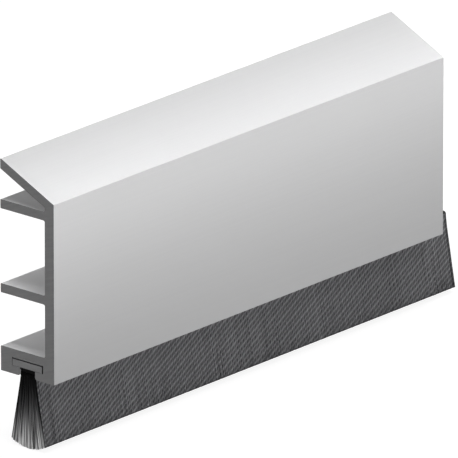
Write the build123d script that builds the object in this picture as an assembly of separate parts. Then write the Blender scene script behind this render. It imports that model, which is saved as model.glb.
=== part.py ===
from build123d import *
import math
import os

# Brush door sweep, a short cut length, in millimetres.
# X runs along the sweep. The show face looks towards -Y, and the four rear tips lie at Y = 0, against
# the door. +Z is up. The origin is on the bottom leg's rear face, at its middle.

# Extruded profile
profile_length = 100.0
profile_depth = 11.8
wall_height = 31.8
wall_thickness = 2.0
fin_thickness = 1.6
mid_fin_height = 13.8
top_fin_height = 28.6
leg_height = 4.4
slope_angle = 25.5
slope_thickness = 1.65
outer_edge_radius = 0.15
inner_corner_radius = 0.3

# T-slot in the bottom leg, for the backing strip
slot_height = 1.4
slot_side_wall = 2.45
lip_thickness = 1.45
mouth_edge_radius = 0.5

# Backing strip, and its play in the T-slot
strip_play_top = 0.2
strip_play_bottom = 0.05
strip_play_front = 0.3
strip_play_rear = 0.1

# Bristles
root_width = 2.9
mouth_clearance = 0.2
flare_start_below_strip = 0.9
tip_width = 7.4
bristle_reach = 11.6
tip_crown = 1.0
brush_overhang = 6.1
lock_pitch = 1.1
locks_deep = 7
lock_gap_at_tips = 0.22

# Derived levels and widths
leg_bottom = -leg_height / 2
leg_top = leg_bottom + leg_height
front_face = -profile_depth
wall_rear = front_face + wall_thickness
wall_top = leg_bottom + wall_height
slope_rise = profile_depth * math.tan(math.radians(slope_angle))
slope_drop = slope_thickness / math.cos(math.radians(slope_angle))

slot_front = front_face + slot_side_wall
slot_rear = -slot_side_wall
slot_centre = (slot_front + slot_rear) / 2
slot_bottom = leg_bottom + lip_thickness
slot_top = slot_bottom + slot_height
mouth_width = root_width + 2 * mouth_clearance

strip_bottom = slot_bottom + strip_play_bottom
strip_top = slot_top - strip_play_top
strip_front = slot_front + strip_play_front
strip_rear = slot_rear - strip_play_rear

flare_top = strip_bottom - flare_start_below_strip
tip_corner = leg_bottom - bristle_reach
tip_lowest = tip_corner - tip_crown
brush_length = profile_length + brush_overhang


def section_box(y_low, y_high, z_low, z_high):
    """A rectangle of the section, between two depths and two heights."""
    middle = ((y_low + y_high) / 2, (z_low + z_high) / 2)
    return Pos(*middle) * Rectangle(y_high - y_low, z_high - z_low)


def along_sweep(section, x_start, length):
    """Extrude a section, drawn with depth across and height up, along the sweep."""
    plane = Plane(origin=(x_start, 0, 0), x_dir=(0, 1, 0), z_dir=(1, 0, 0))
    return extrude(plane * section, length)


def corner_near(section, y, z):
    """The vertex of a section that lies nearest to a point."""
    return section.vertices().sort_by_distance((y, z, 0))[0]


def profile_section():
    """The extrusion's section: wall, sloping top, two fins and the slotted bottom leg."""
    slope_low = wall_top - slope_drop
    slope_high = wall_top + slope_rise
    section = section_box(front_face, wall_rear, leg_bottom, wall_top)
    section += section_box(front_face, 0, leg_bottom, leg_top)
    for height in (mid_fin_height, top_fin_height):
        fin_bottom = leg_bottom + height
        section += section_box(front_face, 0, fin_bottom, fin_bottom + fin_thickness)
    section += make_face(
        Polyline(
            (front_face, slope_low),
            (front_face, wall_top),
            (0, slope_high),
            (0, slope_high - slope_drop),
            close=True,
        )
    )
    section -= section_box(slot_front, slot_rear, slot_bottom, slot_top)
    mouth_front = slot_centre - mouth_width / 2
    mouth_rear = slot_centre + mouth_width / 2
    section -= section_box(mouth_front, mouth_rear, leg_bottom, slot_bottom)

    wedge_corner = wall_top - slope_drop + wall_thickness * slope_rise / profile_depth
    inner_corners = [(wall_rear, leg_top), (wall_rear, wedge_corner)]
    for height in (mid_fin_height, top_fin_height):
        inner_corners.append((wall_rear, leg_bottom + height))
        inner_corners.append((wall_rear, leg_bottom + height + fin_thickness))
    outer_edges = [(front_face, leg_bottom), (front_face, wall_top), (0, leg_bottom), (0, leg_top)]
    for height in (mid_fin_height, top_fin_height):
        outer_edges.append((0, leg_bottom + height))
        outer_edges.append((0, leg_bottom + height + fin_thickness))
    outer_edges += [(0, slope_high), (0, slope_high - slope_drop)]
    mouth_edges = [(mouth_front, leg_bottom), (mouth_rear, leg_bottom)]

    rounds = (
        (inner_corners, inner_corner_radius),
        (outer_edges, outer_edge_radius),
        (mouth_edges, mouth_edge_radius),
    )
    for corners, radius in rounds:
        section = fillet([corner_near(section, *corner) for corner in corners], radius)
    return section


def tip_level(y):
    """Height of the crowned tip line at a depth."""
    half = tip_width / 2
    crown_radius = (half**2 + tip_crown**2) / (2 * tip_crown)
    return tip_lowest + crown_radius - math.sqrt(crown_radius**2 - (y - slot_centre) ** 2)


def bristle_section():
    """End view of the bristles: a narrow root, and a fan of locks that part towards the tips."""
    root_low = slot_centre - root_width / 2
    section = section_box(root_low, root_low + root_width, flare_top, strip_bottom)
    for lock in range(locks_deep):
        start, end = lock / locks_deep - 0.5, (lock + 1) / locks_deep - 0.5
        tip_start = slot_centre + start * tip_width + (lock_gap_at_tips / 2 if lock else 0)
        last = lock == locks_deep - 1
        tip_end = slot_centre + end * tip_width - (0 if last else lock_gap_at_tips / 2)
        section += make_face(
            Polyline(
                (slot_centre + start * root_width, flare_top),
                (tip_start, tip_level(tip_start)),
                (tip_end, tip_level(tip_end)),
                (slot_centre + end * root_width, flare_top),
                close=True,
            )
        )
    return section


def lock_gaps(x_start):
    """Thin wedges that part the locks along the sweep, widest at the tips."""
    lock_count = round(brush_length / lock_pitch)
    wedge = make_face(
        Polyline(
            (0, flare_top),
            (-lock_gap_at_tips / 2, tip_lowest),
            (lock_gap_at_tips / 2, tip_lowest),
            close=True,
        )
    )
    across = Plane(origin=(0, slot_centre + tip_width, 0), x_dir=(1, 0, 0), z_dir=(0, -1, 0))
    gap = extrude(across * wedge, 2 * tip_width)
    step = brush_length / lock_count
    return [Pos(x_start + step * index, 0, 0) * gap for index in range(1, lock_count)]


def make_profile():
    return along_sweep(profile_section(), -profile_length / 2, profile_length)


def make_backing_strip():
    section = section_box(strip_front, strip_rear, strip_bottom, strip_top)
    return along_sweep(section, -profile_length / 2, profile_length)


def make_bristles():
    x_start = -profile_length / 2
    pack = along_sweep(bristle_section(), x_start, brush_length)
    return pack - lock_gaps(x_start)


os.makedirs("parts", exist_ok=True)
pieces = {
    "profile": make_profile(),
    "backing_strip": make_backing_strip(),
    "bristles": make_bristles(),
}
for name, piece in pieces.items():
    export_step(piece, f"parts/{name}.step")
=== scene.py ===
import math

import bmesh
import bpy
from bpy.props import FloatProperty, FloatVectorProperty, IntProperty, PointerProperty
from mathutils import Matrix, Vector, noise


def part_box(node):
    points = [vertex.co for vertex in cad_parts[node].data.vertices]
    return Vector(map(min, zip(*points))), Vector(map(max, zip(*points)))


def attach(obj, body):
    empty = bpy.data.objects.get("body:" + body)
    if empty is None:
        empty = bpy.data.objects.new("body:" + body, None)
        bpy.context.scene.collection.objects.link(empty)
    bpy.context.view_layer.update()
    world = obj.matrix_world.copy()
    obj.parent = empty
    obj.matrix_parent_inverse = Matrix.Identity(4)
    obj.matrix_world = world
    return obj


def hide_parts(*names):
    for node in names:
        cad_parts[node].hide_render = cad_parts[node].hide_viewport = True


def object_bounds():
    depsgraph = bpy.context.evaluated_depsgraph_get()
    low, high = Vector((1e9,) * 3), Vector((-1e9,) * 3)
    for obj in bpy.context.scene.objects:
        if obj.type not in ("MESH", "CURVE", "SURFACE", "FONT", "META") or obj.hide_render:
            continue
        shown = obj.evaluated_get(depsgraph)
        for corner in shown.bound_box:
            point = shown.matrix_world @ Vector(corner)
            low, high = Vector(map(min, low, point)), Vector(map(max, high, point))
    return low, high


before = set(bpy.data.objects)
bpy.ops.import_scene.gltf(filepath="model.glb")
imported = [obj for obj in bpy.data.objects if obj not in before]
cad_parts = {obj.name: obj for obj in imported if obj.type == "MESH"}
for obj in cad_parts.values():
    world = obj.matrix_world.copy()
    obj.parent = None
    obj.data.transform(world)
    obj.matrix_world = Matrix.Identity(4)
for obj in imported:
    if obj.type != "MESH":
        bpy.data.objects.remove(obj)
CAD_LOW, CAD_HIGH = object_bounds()
PROFILE_LOW, PROFILE_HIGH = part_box("profile")
BRUSH_LOW, BRUSH_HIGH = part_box("bristles")
MM = 0.001

bl_info = {
    "name": "Brush door sweep",
    "version": (1, 0, 0),
    "blender": (4, 5, 0),
    "location": "View3D > Sidebar > Door sweep",
    "description": "Dresses a cut length of brush door sweep: anodised profile, backing strip and bristles",
    "category": "Add Mesh",
}


class Term:
    """One number or vector in a node tree. Python's operators turn it into Math nodes."""

    def __init__(self, graph, socket):
        self.graph = graph
        self.socket = socket

    def maths(self, operation, *others):
        values = {"Value": self}
        values.update({f"Value_{place:03d}": other for place, other in enumerate(others, 1)})
        return self.graph.node("ShaderNodeMath", {"operation": operation}, values).out("Value")

    def __add__(self, other):
        return self.maths("ADD", other)

    def __radd__(self, other):
        return self.maths("ADD", other)

    def __sub__(self, other):
        return self.maths("SUBTRACT", other)

    def __rsub__(self, other):
        return self.maths("MULTIPLY_ADD", -1.0, other)

    def __mul__(self, other):
        return self.maths("MULTIPLY", other)

    def __rmul__(self, other):
        return self.maths("MULTIPLY", other)

    def __truediv__(self, other):
        return self.maths("DIVIDE", other)

    def __pow__(self, other):
        return self.maths("POWER", other)

    def __mod__(self, other):
        return self.maths("MODULO", other)

    def __gt__(self, other):
        return self.maths("GREATER_THAN", other)

    def sine(self):
        return self.maths("SINE")

    def cosine(self):
        return self.maths("COSINE")

    def root(self):
        return self.maths("SQRT")

    def size(self):
        return self.maths("ABSOLUTE")

    def whole(self):
        return self.maths("FLOOR")

    def at_least(self, other):
        return self.maths("MAXIMUM", other)

    def at_most(self, other):
        return self.maths("MINIMUM", other)

    def parts(self):
        """The X, Y and Z of a vector."""
        split = self.graph.node("ShaderNodeSeparateXYZ", {}, {"Vector": self})
        return split.out("X"), split.out("Y"), split.out("Z")


class Made:
    """A node that has been made. Its outputs are taken as terms."""

    def __init__(self, graph, node):
        self.graph = graph
        self.node = node

    def out(self, key):
        return Term(self.graph, next(s for s in self.node.outputs if key in (s.identifier, s.name)))


class Graph:
    """Builds one node tree."""

    def __init__(self, tree):
        self.tree = tree
        self.tree.nodes.clear()

    def node(self, kind, settings, sockets):
        """Any node: its type, its settings, and the values or links of its sockets."""
        made = self.tree.nodes.new(kind)
        for name, value in settings.items():
            setattr(made, name, value)
        for key, value in sockets.items():
            socket = next(s for s in made.inputs if key in (s.identifier, s.name))
            if isinstance(value, Term):
                self.tree.links.new(value.socket, socket)
            else:
                socket.default_value = value
        return Made(self, made)

    def vector(self, x, y, z):
        return self.node("ShaderNodeCombineXYZ", {}, {"X": x, "Y": y, "Z": z}).out("Vector")

    def tint(self, colour, level):
        """A colour made darker or lighter by a level."""
        sockets = {"Vector": tuple(colour), "Scale": level}
        return self.node("ShaderNodeVectorMath", {"operation": "SCALE"}, sockets).out("Vector")

    def blend(self, factor, first, second):
        """A colour that goes from the first to the second."""
        sockets = {"Factor_Float": factor, "A_Color": first, "B_Color": second}
        return self.node("ShaderNodeMix", {"data_type": "RGBA"}, sockets).out("Result_Color")

    def mix(self, factor, first, second):
        """A shader that goes from the first to the second."""
        sockets = {"Fac": factor, "Shader": first, "Shader_001": second}
        return self.node("ShaderNodeMixShader", {}, sockets).out("Shader")

    def noise(self, place, scale, detail=2.0):
        """Noise from 0 to 1, whose grains are one over the scale wide."""
        sockets = {"Vector": place, "Scale": scale, "Detail": detail}
        return self.node("ShaderNodeTexNoise", {}, sockets).out("Fac")

    def tilt(self, height, depth, strength):
        """A normal bumped by a height from 0 to 1, which stands for a depth in metres."""
        sockets = {"Height": height, "Distance": depth, "Strength": strength}
        return self.node("ShaderNodeBump", {}, sockets).out("Normal")

    def seen(self):
        """1 where the camera sees the surface, straight or by a mirror or glass, and else 0."""
        path = self.node("ShaderNodeLightPath", {}, {})
        direct, mirrored = path.out("Is Camera Ray"), path.out("Is Glossy Ray")
        return direct.at_least(mirrored).at_least(path.out("Is Transmission Ray"))


class AluminiumFinish(bpy.types.PropertyGroup):
    """Natural anodised aluminium, and its raw saw-cut ends."""

    face_colour: FloatVectorProperty(
        name="Anodised colour", description="Colour of the anodised faces",
        default=(0.65, 0.65, 0.655), subtype="COLOR", min=0, max=1,
    )
    # The raw ends' dark grey is mostly painted shade, for ends that face away from the lamps
    shaded_cut_colour: FloatVectorProperty(
        name="Cut end colour", description="Colour of the raw saw-cut ends",
        default=(0.136, 0.136, 0.137), subtype="COLOR", min=0, max=1,
    )
    metal: FloatProperty(
        name="Metal", description="How metallic the anodised faces look", default=0.05, min=0, max=1,
    )
    roughness: FloatProperty(
        name="Roughness", description="Roughness of the anodised faces", default=0.42, min=0, max=1,
    )
    die_line_pitch: FloatProperty(
        name="Die line pitch", description="Spacing of the fine lines that the extrusion die leaves",
        default=0.35 * MM, subtype="DISTANCE", unit="LENGTH", min=0.05 * MM, max=2 * MM,
    )
    saw_mark_pitch: FloatProperty(
        name="Saw mark pitch", description="Spacing of the saw marks on the cut ends",
        default=0.4 * MM, subtype="DISTANCE", unit="LENGTH", min=0.05 * MM, max=2 * MM,
    )


class StripFinish(bpy.types.PropertyGroup):
    """Extruded plastic of the backing strip."""

    colour: FloatVectorProperty(
        name="Strip colour", description="Colour of the backing strip",
        default=(0.11, 0.11, 0.111), subtype="COLOR", min=0, max=1,
    )
    roughness: FloatProperty(
        name="Roughness", description="Roughness of the strip", default=0.5, min=0, max=1,
    )


class BristleSizes(bpy.types.PropertyGroup):
    """Sizes of the bristle filaments and of the bead that joins their roots."""

    filament: FloatProperty(
        name="Filament", description="Diameter of one filament",
        default=0.2 * MM, subtype="DISTANCE", unit="LENGTH", min=0.05 * MM, max=1 * MM,
    )
    face_pitch: FloatProperty(
        name="Face pitch", description="Spacing of the filaments along the brush's front and rear faces",
        default=0.17 * MM, subtype="DISTANCE", unit="LENGTH", min=0.1 * MM, max=2 * MM,
    )
    core_pitch: FloatProperty(
        name="Core pitch", description="Spacing of the filaments along the middle of the brush",
        default=0.2 * MM, subtype="DISTANCE", unit="LENGTH", min=0.1 * MM, max=2 * MM,
    )
    face_share: FloatProperty(
        name="Face share", description="Share of the brush's depth that one face layer takes",
        default=0.06, min=0.01, max=0.3,
    )
    face_rows: IntProperty(
        name="Face rows", description="Rows of filaments in one face layer", default=3, min=1, max=10,
    )
    core_rows: IntProperty(
        name="Core rows", description="Rows of filaments from a face layer to the middle",
        default=5, min=1, max=12,
    )
    end_columns: IntProperty(
        name="End columns", description="Columns of filaments in the dense layer at each end",
        default=4, min=1, max=12,
    )
    root_width: FloatProperty(
        name="Root width", description="Depth of the brush where it leaves the backing strip",
        default=2.9 * MM, subtype="DISTANCE", unit="LENGTH", min=1 * MM, max=10 * MM,
    )
    bead_height: FloatProperty(
        name="Bead height", description="Height of the fused bead that joins the roots",
        default=0.6 * MM, subtype="DISTANCE", unit="LENGTH", min=0.2 * MM, max=3 * MM,
    )
    straight_root: FloatProperty(
        name="Straight root", description="Length of filament inside the slot's mouth, before the flare",
        default=0.6 * MM, subtype="DISTANCE", unit="LENGTH", min=0, max=5 * MM,
    )
    tip_crown: FloatProperty(
        name="Tip crown", description="How much lower the middle of the tip line is than its corners",
        default=1.0 * MM, subtype="DISTANCE", unit="LENGTH", min=0, max=5 * MM,
    )
    crimp: FloatProperty(
        name="Crimp", description="How far a filament waves from side to side",
        default=0.04 * MM, subtype="DISTANCE", unit="LENGTH", min=0, max=1 * MM,
    )
    crimp_waves: FloatProperty(
        name="Crimp waves", description="Waves over the length of one filament", default=2.2, min=0, max=20,
    )
    stray: FloatProperty(
        name="Stray", description="How far the tips in the core stray from a straight line",
        default=0.14 * MM, subtype="DISTANCE", unit="LENGTH", min=0, max=2 * MM,
    )
    uneven: FloatProperty(
        name="Uneven", description="How much shorter the shortest filaments are in the core",
        default=0.5 * MM, subtype="DISTANCE", unit="LENGTH", min=0, max=2 * MM,
    )
    end_uneven: FloatProperty(
        name="Uneven ends", description="How much shorter the shortest filaments are at the brush's ends",
        default=0.15 * MM, subtype="DISTANCE", unit="LENGTH", min=0, max=2 * MM,
    )
    seed: IntProperty(name="Seed", description="Fixed seed of the filaments' unevenness", default=7, min=0)


class BristleFinish(bpy.types.PropertyGroup):
    """Look of the nylon."""

    colour: FloatVectorProperty(
        name="Nylon colour", description="Colour of the nylon filaments",
        default=(0.235, 0.235, 0.245), subtype="COLOR", min=0, max=1,
    )
    # The pale tips at the brush's ends are painted light, for the light seen between the filament tips
    tip_light_colour: FloatVectorProperty(
        name="Tip light colour", description="Colour of the scuffed filament tips at the ends of the brush",
        default=(0.9, 0.9, 0.9), subtype="COLOR", min=0, max=1,
    )
    bead_colour: FloatVectorProperty(
        name="Bead colour", description="Colour of the fused bead", default=(0.002, 0.002, 0.002),
        subtype="COLOR", min=0, max=1,
    )
    roughness: FloatProperty(
        name="Roughness", description="Roughness of the filaments", default=0.45, min=0, max=1,
    )
    crest_along: FloatProperty(
        name="Crest spacing along", description="Spacing of the crimp's crests along the brush",
        default=1.733 * MM, subtype="DISTANCE", unit="LENGTH", min=0.1 * MM, max=10 * MM,
    )
    crest_down: FloatProperty(
        name="Crest spacing down", description="Spacing of the crimp's crests down a filament",
        default=0.84 * MM, subtype="DISTANCE", unit="LENGTH", min=0.1 * MM, max=10 * MM,
    )
    lock_along: FloatProperty(
        name="Lock spacing along", description="Spacing of the filaments' locks along the brush",
        default=0.632 * MM, subtype="DISTANCE", unit="LENGTH", min=0.1 * MM, max=10 * MM,
    )
    lock_down: FloatProperty(
        name="Lock spacing down", description="Spacing of the leaning locks, down a filament",
        default=1.12 * MM, subtype="DISTANCE", unit="LENGTH", min=0.1 * MM, max=20 * MM,
    )
    cross_along: FloatProperty(
        name="Cross wave along", description="Spacing of the faint waves across the crests, along the brush",
        default=0.97 * MM, subtype="DISTANCE", unit="LENGTH", min=0.1 * MM, max=10 * MM,
    )
    cross_down: FloatProperty(
        name="Cross wave down", description="Spacing of the faint waves across the crests, down a filament",
        default=2.98 * MM, subtype="DISTANCE", unit="LENGTH", min=0.1 * MM, max=20 * MM,
    )


class StudioSetup(bpy.types.PropertyGroup):
    """Camera, lamps and floor."""

    azimuth: FloatProperty(
        name="Azimuth", description="Turn of the camera round the sweep",
        default=math.radians(-49.16), subtype="ANGLE", unit="ROTATION",
    )
    elevation: FloatProperty(
        name="Elevation", description="Height of the camera above the horizon",
        default=math.radians(19.43), subtype="ANGLE", unit="ROTATION",
    )
    lens: FloatProperty(
        name="Lens", description="Focal length in millimetres, long enough for an almost parallel view",
        default=1500.0, min=10, max=1500,
    )
    view_width: FloatProperty(
        name="View width", description="Width of the picture at the sweep",
        default=76.98 * MM, subtype="DISTANCE", unit="LENGTH", min=1 * MM, max=1,
    )
    aim: FloatVectorProperty(
        name="Aim", description="Point of the sweep at the middle of the picture",
        default=(1.25 * MM, -5.9 * MM, 10.39 * MM), subtype="XYZ", unit="LENGTH", precision=5,
    )
    floor_size: FloatProperty(
        name="Floor size", description="Width of the square floor",
        default=6.0, subtype="DISTANCE", unit="LENGTH", min=0.1, max=20,
    )
    floor_glow: FloatProperty(
        name="Floor glow", description="Share of plain white in the floor as the camera sees it",
        default=0.75, min=0, max=1,
    )
    floor_white: FloatProperty(
        name="Floor white", description="Level of the floor's plain white, before its share is taken",
        default=1.2, min=0, max=2,
    )
    world_light: FloatProperty(
        name="World light", description="Level of the soft light from all round", default=0.1, min=0, max=2,
    )
    key_power: FloatProperty(
        name="Key power", description="Power of the strip lamp above the front edge",
        default=0.0197, unit="POWER", min=0, max=10,
    )
    front_power: FloatProperty(
        name="Front power", description="Power of the low lamp in front", default=0.42,
        unit="POWER", min=0, max=50,
    )
    top_power: FloatProperty(
        name="Top power", description="Power of the lamp overhead", default=5.4,
        unit="POWER", min=0, max=50,
    )
    side_power: FloatProperty(
        name="Side power", description="Power of the low lamp at the left end", default=4.1,
        unit="POWER", min=0, max=50,
    )
    far_power: FloatProperty(
        name="Far power", description="Power of the low lamp at the right end", default=3.0,
        unit="POWER", min=0, max=50,
    )
    back_power: FloatProperty(
        name="Back power", description="Power of the low lamp behind", default=2.4,
        unit="POWER", min=0, max=50,
    )


def new_material(name):
    material = bpy.data.materials.new(name)
    material.use_nodes = True
    return material, Graph(material.node_tree)


def shade(graph, sockets):
    """Join a Principled shader with these sockets to the material's output."""
    shader = graph.node("ShaderNodeBsdfPrincipled", {}, sockets).out("BSDF")
    graph.node("ShaderNodeOutputMaterial", {}, {"Surface": shader})


def object_place(graph):
    """Object coordinates, in metres."""
    return graph.node("ShaderNodeTexCoord", {}, {}).out("Object")


def kept_value(graph, name):
    """A number that the mesh keeps at each point."""
    return graph.node("ShaderNodeAttribute", {"attribute_name": name}, {}).out("Fac")


def anodised_aluminium(finish):
    """Satin anodised faces with fine die lines, and raw ends with saw marks."""
    material, graph = new_material("Anodised aluminium")
    place = object_place(graph)
    x, y, z = place.parts()
    half_length = (PROFILE_HIGH.x - PROFILE_LOW.x) / 2
    end_skin = 0.01 * MM
    cut_end = x.size() > half_length - end_skin
    strip_low, strip_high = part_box("backing_strip")
    strip_middle, strip_half = (strip_low + strip_high) / 2, (strip_high - strip_low) / 2
    slot_play = 0.35 * MM
    outside_slot = (y - strip_middle.y).size() > strip_half.y + slot_play
    above_slot = (z - strip_middle.z).size() > strip_half.z + slot_play
    in_slot = 1.0 - outside_slot.at_least(above_slot)
    # The recesses lie behind the middle of the wall and under the middle of the sloping leg.
    # The notch is the topmost one, over the top fin.
    wall_middle, top_fin_height = PROFILE_LOW.y + 1.0 * MM, 27.9 * MM
    slope_rise, slope_start = 0.477, 28.7 * MM
    slope_middle = (y - PROFILE_LOW.y) * slope_rise + slope_start
    recess = (y > wall_middle) * (slope_middle - z > 0.0)
    notch = recess * (z > top_fin_height)

    pitch = finish.die_line_pitch
    lines = graph.noise(graph.vector(x * 6.0, y / pitch, z / pitch), 1.0, 3.0)
    cloud = graph.noise(place, 35.0)
    saw_lean = 0.35
    sawing = graph.noise(graph.vector(x, y * 60.0, (z + y * saw_lean) / finish.saw_mark_pitch), 1.0)

    wear = (lines - 0.5) * 0.05 + (cloud - 0.5) * 0.03 + 1.0
    # The recesses get painted light at the open rear and painted shade towards the wall, most of it in the
    # notch
    recess_light, recess_shade_per_metre, most_recess_light, notch_shade = 0.26, 50.0, 0.2, 0.24
    recess_level = (y * recess_shade_per_metre + recess_light).at_most(most_recess_light)
    recess_light_and_shade = recess * (1.0 - notch) * recess_level - notch * notch_shade
    # The inside of the slot is painted dark as shade
    slot_shade = 0.9
    face = graph.tint(finish.face_colour, (wear + recess_light_and_shade) * (1.0 - in_slot * slot_shade))
    # The cut ends keep real saw marks, and their dark colour is mostly painted shade
    cut = graph.tint(finish.shaded_cut_colour, (sawing - 0.5) * 0.35 + 1.0)
    shade(graph, {
        "Base Color": graph.blend(cut_end, face, cut),
        "Metallic": (1.0 - cut_end) * finish.metal,
        "Specular IOR Level": 0.25,
        "Roughness": (lines - 0.5) * 0.1 + cut_end * 0.2 + finish.roughness,
        "Normal": graph.tilt(lines * (1.0 - cut_end) + sawing * cut_end, 0.01 * MM, 0.25),
    })
    return material


def strip_plastic(finish):
    """Dull extruded plastic, slightly streaked along the strip."""
    material, graph = new_material("Backing strip plastic")
    x, y, z = object_place(graph).parts()
    streaks = graph.noise(graph.vector(x * 20.0, y * 4000.0, z * 4000.0), 1.0)
    shade(graph, {
        "Base Color": graph.tint(finish.colour, (streaks - 0.5) * 0.2 + 1.0),
        "Roughness": (streaks - 0.5) * 0.2 + finish.roughness,
        "Normal": graph.tilt(streaks, 0.01 * MM, 0.3),
    })
    return material


def waves(x, z, along, down, shift=0.0):
    """Slanting crests across the brush, from 0 to 1, with their spacing along it and down it."""
    return ((x / along - z / down + shift) * (2 * math.pi)).sine() * 0.5 + 0.5


def face_nylon(finish):
    """Nylon of the brush's faces, whose crimp's fine slanting lines are bumped in and painted in as
    highlights and shade.
    """
    material, graph = new_material("Bristle nylon")
    x, _, z = object_place(graph).parts()
    crest = waves(x, z, finish.crest_along, finish.crest_down)
    # Half as many waves, an eighth of a wave on, so that every second crest is brighter
    second = waves(x, z, 2 * finish.crest_along, 2 * finish.crest_down, 1 / 8)
    lock = waves(x, z, finish.lock_along, finish.lock_down)
    cross = waves(x, z, finish.cross_along, -finish.cross_down)
    tone = kept_value(graph, "tone")
    # The last bit of each filament is painted dark as shade along the brush's bottom edge
    tip_start = 0.985
    shaded_tip = kept_value(graph, "down") > tip_start
    # The crests, locks and cross waves are painted into the colour as highlights and shade of the crimp
    painted_crimp_sheen = (crest ** 3.0 - 0.3) * 0.85 + (second - 0.5) * 0.26 + (lock - 0.5) * 0.5 + (cross - 0.5) * 0.13
    level = painted_crimp_sheen + (tone - 0.5) * 0.1 + 1.0
    # Painted shade: darker past the profile's end, and darkest along the edge of the far end
    fade_length, edge_width = 3 * MM, 0.45 * MM
    past_profile = ((x - PROFILE_HIGH.x) / fade_length).at_least(0.0).at_most(1.0)
    far_edge = x > BRUSH_HIGH.x - edge_width
    painted_shade = (1.0 - shaded_tip * 0.75) * (1.0 - past_profile * 0.2) * (1.0 - far_edge * 0.5)
    shade(graph, {
        "Base Color": graph.tint(finish.colour, level * painted_shade),
        "Specular IOR Level": 0.3,
        "Roughness": (0.5 - crest) * 0.2 + finish.roughness,
        "Normal": graph.tilt(crest, 0.06 * MM, 0.5),
    })
    return material


def end_nylon(finish):
    """Nylon at the ends of the brush, painted near black towards the root as shade, with pale tips and
    streaks of painted light.
    """
    material, graph = new_material("End bristle nylon with painted light and shade")
    tone, down, share = (kept_value(graph, name) for name in ("tone", "down", "share"))
    x = object_place(graph).parts()[0]
    streaks_across, first_streak, streaks_down = 38.0, 2.3, 1.5
    streak_place = graph.vector(share * streaks_across + first_streak, down * streaks_down, 0.0)
    streak = graph.noise(streak_place, 1.0, 0.0)
    light_streaks = ((streak - 0.42) * 6.0).at_least(0.0).at_most(1.0)
    # The corners get painted shade: half way down at the left end, and all the way down at the far end
    corner_share, corner_shade_level = 0.47, 0.1
    lower_left_corner_unshaded = (down * 3.0 - 1.5) * (1.0 - (x > 0.0))
    inside = ((corner_share - share.size()) * 20.0).at_least(lower_left_corner_unshaded).at_least(0.0).at_most(1.0)
    inside = inside * (1.0 - corner_shade_level) + corner_shade_level
    # The rear side is painted darker as shade, and the streaks on the tips are painted light
    level = (light_streaks * 1.5 + 0.25) * (tone + 0.5) * (1.0 - share * 0.4) * inside
    # Painted shade towards the root, and painted light towards the tips
    nylon = graph.tint(finish.colour, level * down ** 2.0 * 0.45)
    painted_light = (level * down ** 4.0 * 0.59).at_most(1.0)
    shade(graph, {
        "Base Color": graph.blend(painted_light, nylon, (*finish.tip_light_colour, 1.0)),
        "Specular IOR Level": 0.03,
        "Roughness": (tone - 0.5) * 0.2 + finish.roughness,
    })
    return material


def bead_nylon(finish):
    """Nylon that was melted into one bead, with a slightly lumpy gloss."""
    material, graph = new_material("Fused bristle nylon")
    place = object_place(graph)
    lumps = graph.noise(place, 1500.0)
    shade(graph, {
        "Base Color": graph.tint(finish.bead_colour, lumps + 0.5),
        "Specular IOR Level": 0.02,
        "Roughness": (lumps - 0.5) * 0.3 + 0.5,
        "Normal": graph.tilt(lumps, 0.05 * MM, 0.5),
    })
    return material


FILAMENT_SIZES = (
    "Start", "Length", "Depth from", "Depth to", "Middle", "Root width", "Tip width", "Root height",
    "Straight root", "Tip corner height", "Crown", "Diameter", "Crimp along", "Crimp across", "Waves",
    "Stray along", "Stray across", "Uneven",
)
FILAMENT_COUNTS = ("Columns", "Rows", "Sides", "Steps", "Seed")


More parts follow.
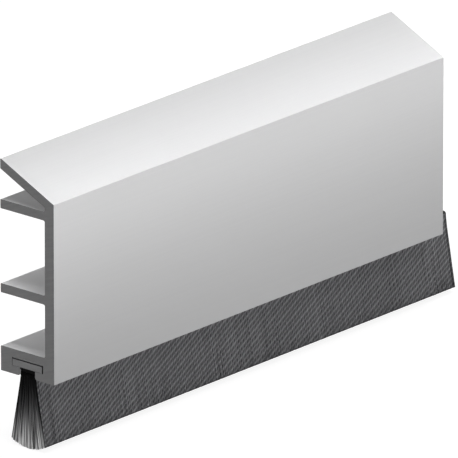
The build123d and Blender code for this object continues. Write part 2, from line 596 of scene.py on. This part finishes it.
def filament_tree():
    """Rows of crimped filaments that flare in depth from a narrow root to a crowned tip line."""
    tree = bpy.data.node_groups.new("Filament curtain", "GeometryNodeTree")
    face = tree.interface
    face.new_socket("Geometry", in_out="OUTPUT", socket_type="NodeSocketGeometry")
    for name in FILAMENT_SIZES:
        face.new_socket(name, in_out="INPUT", socket_type="NodeSocketFloat")
    for name in FILAMENT_COUNTS:
        face.new_socket(name, in_out="INPUT", socket_type="NodeSocketInt")
    face.new_socket("Material", in_out="INPUT", socket_type="NodeSocketMaterial")
    graph = Graph(tree)
    given = graph.node("NodeGroupInput", {}, {}).out

    def geometry(kind, settings, sockets, result="Geometry"):
        return graph.node("GeometryNode" + kind, settings, sockets).out(result)

    def chance(low, high, offset):
        """A random number of each filament's own."""
        sockets = {"Min_001": low, "Max_001": high, "Seed": given("Seed") + offset}
        return graph.node("FunctionNodeRandomValue", {"data_type": "FLOAT"}, sockets).out("Value_001")

    def keep(mesh, name, value):
        settings = {"data_type": "FLOAT", "domain": "POINT"}
        return geometry("StoreNamedAttribute", settings, {"Geometry": mesh, "Name": name, "Value": value})

    def kept(name):
        return geometry("InputNamedAttribute", {"data_type": "FLOAT"}, {"Name": name}, "Attribute")

    columns, rows = given("Columns"), given("Rows")
    index = geometry("InputIndex", {}, {}, "Index")
    along = (index % columns + chance(0.25, 0.75, 1)) / columns
    across = ((index / columns).whole() + chance(0.0, 1.0, 2)) / rows
    share = given("Depth from") + (given("Depth to") - given("Depth from")) * across
    tip_offset = share * given("Tip width")
    half_tip, crown = given("Tip width") / 2, given("Crown")
    crown_radius = (half_tip * half_tip + crown * crown) / (crown * 2)
    drop = (crown_radius * crown_radius - tip_offset * tip_offset).root() - crown_radius + crown
    reach = given("Root height") - given("Tip corner height") + drop - chance(0.0, 1.0, 8) * given("Uneven")
    root_x = given("Start") + given("Length") * along
    root_y = given("Middle") + share * given("Root width")
    place = graph.vector(root_x, root_y, given("Root height"))
    points = geometry("Points", {}, {"Count": columns * rows, "Position": place}, "Points")
    points = keep(points, "fan", tip_offset - share * given("Root width"))
    points = keep(points, "reach", reach)
    points = keep(points, "share", share)
    points = keep(points, "tone", chance(0.0, 1.0, 3))
    points = keep(points, "phase", chance(0.0, 2 * math.pi, 4))
    points = keep(points, "stray_along", chance(-1.0, 1.0, 5) * given("Stray along"))
    points = keep(points, "stray_across", chance(-1.0, 1.0, 6) * given("Stray across"))

    rod_sizes = {
        "Vertices": given("Sides"), "Side Segments": given("Steps"),
        "Radius": given("Diameter") / 2, "Depth": 1.0,
    }
    rod = geometry("MeshCylinder", {"fill_type": "NGON"}, rod_sizes, "Mesh")
    rod = geometry("Transform", {}, {"Geometry": rod, "Translation": (0.0, 0.0, -0.5)})
    height = geometry("InputPosition", {}, {}, "Position").parts()[2]
    rod = keep(rod, "down", height * -1.0)
    turn = graph.vector(0.0, 0.0, chance(0.0, 2 * math.pi, 7))
    stretch = graph.vector(1.0, 1.0, kept("reach"))
    stood = {"Points": points, "Instance": rod, "Rotation": turn, "Scale": stretch}
    curtain = geometry("InstanceOnPoints", {}, stood, "Instances")
    curtain = geometry("RealizeInstances", {}, {"Geometry": curtain})

    down = kept("down")
    straight = given("Straight root") / kept("reach")
    free = ((down - straight) / (1.0 - straight)).at_least(0.0)
    wave = down * given("Waves") * (2 * math.pi) + kept("phase")
    loose = (free * 5.0).at_most(1.0)
    shift_along = wave.sine() * loose * given("Crimp along") + kept("stray_along") * free * free
    shift_across = wave.cosine() * loose * given("Crimp across") + kept("stray_across") * free * free
    shift = graph.vector(shift_along, shift_across + kept("fan") * free, 0.0)
    curtain = geometry("SetPosition", {}, {"Geometry": curtain, "Offset": shift})
    curtain = geometry("SetShadeSmooth", {}, {"Geometry": curtain})
    curtain = geometry("SetMaterial", {}, {"Geometry": curtain, "Material": given("Material")})
    graph.node("NodeGroupOutput", {}, {"Geometry": curtain})
    return tree


def new_piece(name, mesh):
    piece = bpy.data.objects.new(name, mesh)
    bpy.context.scene.collection.objects.link(piece)
    return piece


def grow(name, tree, values):
    """Run a Geometry Nodes tree once and keep its result as a plain mesh object."""
    piece = new_piece(name, bpy.data.meshes.new(name + "_seed"))
    modifier = piece.modifiers.new("Grow", "NODES")
    modifier.node_group = tree
    for item in tree.interface.items_tree:
        if item.in_out == "INPUT":
            modifier[item.identifier] = values[item.name]
    graph = bpy.context.evaluated_depsgraph_get()
    mesh = bpy.data.meshes.new_from_object(piece.evaluated_get(graph), depsgraph=graph)
    # The rod starts with an empty material slot, which the filaments don't use
    mesh.materials.pop(index=0)
    piece.modifiers.clear()
    seed, piece.data = piece.data, mesh
    bpy.data.meshes.remove(seed)
    mesh.name = name
    return piece


def seat_on_brush(piece):
    """Say that a piece is part of the sliding brush and stands for its plain bristles."""
    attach(piece, "brush")
    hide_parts("bristles")


class SWEEP_OT_dress_profile(bpy.types.Operator):
    """Give the extruded profile its anodised finish"""

    bl_idname = "sweep.dress_profile"
    bl_label = "Dress profile"

    def execute(self, context):
        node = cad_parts["profile"]
        node.data.materials.clear()
        node.data.materials.append(anodised_aluminium(context.scene.sweep_aluminium))
        return {"FINISHED"}


class SWEEP_OT_dress_strip(bpy.types.Operator):
    """Give the backing strip its plastic finish"""

    bl_idname = "sweep.dress_strip"
    bl_label = "Dress backing strip"

    def execute(self, context):
        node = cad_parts["backing_strip"]
        node.data.materials.clear()
        node.data.materials.append(strip_plastic(context.scene.sweep_strip))
        return {"FINISHED"}


class SWEEP_OT_cast_bead(bpy.types.Operator):
    """Make the fused bead that joins the bristles' roots under the backing strip"""

    bl_idname = "sweep.cast_bead"
    bl_label = "Cast root bead"

    def execute(self, context):
        sizes = context.scene.sweep_bristles
        middle = (BRUSH_LOW.y + BRUSH_HIGH.y) / 2
        half_width, height, top = sizes.root_width / 2, sizes.bead_height, BRUSH_HIGH.z
        chamfer = height / 2
        corners = (
            (-half_width, top - height), (-half_width, top - chamfer), (-half_width + chamfer, top),
            (half_width - chamfer, top), (half_width, top - chamfer), (half_width, top - height),
        )
        length = BRUSH_HIGH.x - BRUSH_LOW.x
        step_length, lump, lumps_per_metre = 0.5 * MM, 0.04 * MM, 900
        steps = round(length / step_length)
        shape = bmesh.new()
        rings = []
        for step in range(steps + 1):
            x = BRUSH_LOW.x + length * step / steps
            ring = []
            for y, z in corners:
                squeeze = lump * (1 + noise.noise(Vector((x, y, z)) * lumps_per_metre)) / 2
                y_in = y - math.copysign(squeeze, y)
                ring.append(shape.verts.new((x, middle + y_in, min(z, top - squeeze))))
            rings.append(ring)
        for first, second in zip(rings, rings[1:]):
            for place in range(len(corners)):
                after = (place + 1) % len(corners)
                shape.faces.new((first[place], first[after], second[after], second[place])).smooth = True
        shape.faces.new(rings[0][::-1])
        shape.faces.new(rings[-1])
        bmesh.ops.recalc_face_normals(shape, faces=shape.faces)
        mesh = bpy.data.meshes.new("bristle_root_bead")
        shape.to_mesh(mesh)
        shape.free()
        mesh.materials.append(bead_nylon(context.scene.sweep_nylon))
        seat_on_brush(new_piece("bristle_root_bead", mesh))
        return {"FINISHED"}


class SWEEP_OT_grow_bristles(bpy.types.Operator):
    """Grow the bristle filaments in place of the plain locks"""

    bl_idname = "sweep.grow_bristles"
    bl_label = "Grow bristles"

    def execute(self, context):
        sizes = context.scene.sweep_bristles
        finish = context.scene.sweep_nylon
        tree = filament_tree()
        radius = sizes.filament / 2
        start, end = BRUSH_LOW.x + radius, BRUSH_HIGH.x - radius
        end_length = sizes.end_columns * sizes.face_pitch
        inset = sizes.stray + sizes.crimp
        shared = {
            "Middle": (BRUSH_LOW.y + BRUSH_HIGH.y) / 2,
            "Root width": sizes.root_width, "Tip width": BRUSH_HIGH.y - BRUSH_LOW.y,
            "Root height": BRUSH_HIGH.z - sizes.bead_height / 2, "Straight root": sizes.straight_root,
            "Tip corner height": BRUSH_LOW.z + sizes.tip_crown, "Crown": sizes.tip_crown,
            "Diameter": sizes.filament, "Waves": sizes.crimp_waves, "Sides": 4, "Steps": 6,
        }
        face = {
            "Start": start + inset, "Length": end - start - 2 * inset, "Rows": sizes.face_rows,
            "Columns": round((end - start) / sizes.face_pitch), "Uneven": 0.05 * MM,
            "Crimp along": sizes.crimp / 2, "Crimp across": sizes.crimp / 4,
            "Stray along": sizes.stray / 2, "Stray across": 0.0, "Material": face_nylon(finish),
        }
        core = {
            **face, "Rows": sizes.core_rows, "Columns": round((end - start) / sizes.core_pitch),
            "Crimp along": sizes.crimp, "Crimp across": sizes.crimp,
            "Stray along": sizes.stray, "Stray across": sizes.stray, "Uneven": sizes.uneven,
        }
        brush_end = {
            **face, "Depth from": -0.5, "Depth to": 0.5, "Length": end_length, "Columns": sizes.end_columns,
            "Rows": round((BRUSH_HIGH.y - BRUSH_LOW.y) / sizes.face_pitch), "Uneven": sizes.end_uneven,
            "Crimp along": 0.0, "Stray along": 0.0, "Material": end_nylon(finish),
        }
        inner = 0.5 - sizes.face_share
        layers = {
            "bristles_front": {**face, "Depth from": -0.5, "Depth to": -inner},
            "bristles_core_front": {**core, "Depth from": -inner, "Depth to": 0.0},
            "bristles_core_rear": {**core, "Depth from": 0.0, "Depth to": inner},
            "bristles_rear": {**face, "Depth from": inner, "Depth to": 0.5},
            "bristles_end_left": {**brush_end, "Start": start},
            "bristles_end_right": {**brush_end, "Start": end - end_length},
        }
        for place, (name, values) in enumerate(layers.items()):
            values = {**shared, **values, "Seed": sizes.seed + 20 * place}
            seat_on_brush(grow(name, tree, values))
        return {"FINISHED"}


def area_lamp(name, place, target, size, watts, spread=180):
    """A soft rectangular lamp that looks at a target and isn't seen itself."""
    data = bpy.data.lights.new(name, "AREA")
    data.shape = "RECTANGLE"
    data.size, data.size_y = size
    data.energy = watts
    data.spread = math.radians(spread)
    lamp = bpy.data.objects.new(name, data)
    bpy.context.scene.collection.objects.link(lamp)
    lamp.location = place
    lamp.rotation_euler = (Vector(target) - Vector(place)).to_track_quat("-Z", "Y").to_euler()
    lamp.visible_camera = False


class SWEEP_OT_build_stage(bpy.types.Operator):
    """Make the camera, the lamps, the white surroundings and the floor"""

    bl_idname = "sweep.build_stage"
    bl_label = "Build stage"

    def execute(self, context):
        setup = context.scene.sweep_studio
        self.make_camera(context, setup)
        self.make_world(context, setup)
        self.make_floor(setup)
        self.make_lamps(setup)
        context.scene.view_settings.view_transform = "Standard"
        return {"FINISHED"}

    def make_camera(self, context, setup):
        data = bpy.data.cameras.new("Camera")
        camera = bpy.data.objects.new("Camera", data)
        context.scene.collection.objects.link(camera)
        data.lens = setup.lens
        distance = setup.view_width * setup.lens / data.sensor_width
        turn, rise = setup.azimuth, setup.elevation
        back = Vector((math.sin(turn) * math.cos(rise), -math.cos(turn) * math.cos(rise), math.sin(rise)))
        camera.location = Vector(setup.aim) + back * distance
        camera.rotation_euler = (-back).to_track_quat("-Z", "Y").to_euler()
        data.clip_start, data.clip_end = distance * 0.5, distance * 4
        context.scene.camera = camera

    def make_world(self, context, setup):
        """Plain white where it is seen or mirrored, and a soft even light elsewhere."""
        world = bpy.data.worlds.new("Surroundings")
        world.use_nodes = True
        context.scene.world = world
        graph = Graph(world.node_tree)
        soft = graph.node("ShaderNodeBackground", {}, {"Color": (1, 1, 1, 1), "Strength": setup.world_light})
        white = graph.node("ShaderNodeBackground", {}, {"Color": (1, 1, 1, 1), "Strength": 1.0})
        sky = graph.mix(graph.seen(), soft.out("Background"), white.out("Background"))
        graph.node("ShaderNodeOutputWorld", {}, {"Surface": sky})

    def make_floor(self, setup):
        """A pale floor at the bristle tips, which keeps the sweep's shadow."""
        half, level = setup.floor_size / 2, CAD_LOW.z
        mesh = bpy.data.meshes.new("Floor")
        corners = [(-half, -half, level), (half, -half, level), (half, half, level), (-half, half, level)]
        mesh.from_pydata(corners, [], [(0, 1, 2, 3)])
        material, graph = new_material("Pale floor")
        paint = graph.node("ShaderNodeBsdfDiffuse", {}, {"Color": (0.85, 0.85, 0.85, 1)}).out("BSDF")
        white = graph.node("ShaderNodeEmission", {}, {"Color": (1, 1, 1, 1), "Strength": setup.floor_white})
        surface = graph.mix(graph.seen() * setup.floor_glow, paint, white.out("Emission"))
        graph.node("ShaderNodeOutputMaterial", {}, {"Surface": surface})
        mesh.materials.append(material)
        new_piece("Floor", mesh)

    def make_lamps(self, setup):
        key_place, key_target = (0.01, -0.0704, 0.0786), (0.01, PROFILE_LOW.y, 0.0274)
        area_lamp("Key strip", key_place, key_target, (0.40, 0.005), setup.key_power, 35)
        area_lamp("Front fill", (0.35, -0.90, 0.02), (0, 0, 0.005), (0.6, 0.3), setup.front_power)
        area_lamp("Top fill", (0, -0.12, 0.89), (0, 0, 0.03), (0.6, 0.4), setup.top_power)
        area_lamp("Side fill", (-0.90, 0.05, 0.01), (-0.05, 0, 0.01), (0.3, 0.3), setup.side_power)
        area_lamp("Far side fill", (0.90, 0.17, 0.01), (0.05, 0, 0.01), (0.3, 0.3), setup.far_power)
        area_lamp("Back fill", (0.05, 0.90, 0.012), (0, 0, 0.012), (0.6, 0.05), setup.back_power)


class SWEEP_PT_sidebar(bpy.types.Panel):
    """Lists the steps that dress the sweep, with their sizes and colours"""

    bl_label = "Door sweep"
    bl_idname = "SWEEP_PT_sidebar"
    bl_space_type = "VIEW_3D"
    bl_region_type = "UI"
    bl_category = "Door sweep"

    def draw(self, context):
        for operator, group in STEPS.items():
            box = self.layout.box()
            settings = getattr(context.scene, group)
            for name in settings.__annotations__:
                box.prop(settings, name)
            box.operator(operator.bl_idname)


GROUPS = {
    "sweep_aluminium": AluminiumFinish,
    "sweep_strip": StripFinish,
    "sweep_bristles": BristleSizes,
    "sweep_nylon": BristleFinish,
    "sweep_studio": StudioSetup,
}
STEPS = {
    SWEEP_OT_dress_profile: "sweep_aluminium",
    SWEEP_OT_dress_strip: "sweep_strip",
    SWEEP_OT_cast_bead: "sweep_nylon",
    SWEEP_OT_grow_bristles: "sweep_bristles",
    SWEEP_OT_build_stage: "sweep_studio",
}


def register():
    for name, group in GROUPS.items():
        bpy.utils.register_class(group)
        setattr(bpy.types.Scene, name, PointerProperty(type=group))
    for operator in STEPS:
        bpy.utils.register_class(operator)
    bpy.utils.register_class(SWEEP_PT_sidebar)


def unregister():
    bpy.utils.unregister_class(SWEEP_PT_sidebar)
    for operator in reversed(STEPS):
        bpy.utils.unregister_class(operator)
    for name, group in reversed(GROUPS.items()):
        delattr(bpy.types.Scene, name)
        bpy.utils.unregister_class(group)


def main():
    register()
    bpy.ops.sweep.dress_profile()
    bpy.ops.sweep.dress_strip()
    bpy.ops.sweep.cast_bead()
    bpy.ops.sweep.grow_bristles()
    bpy.ops.sweep.build_stage()


if __name__ == "__main__":
    main()
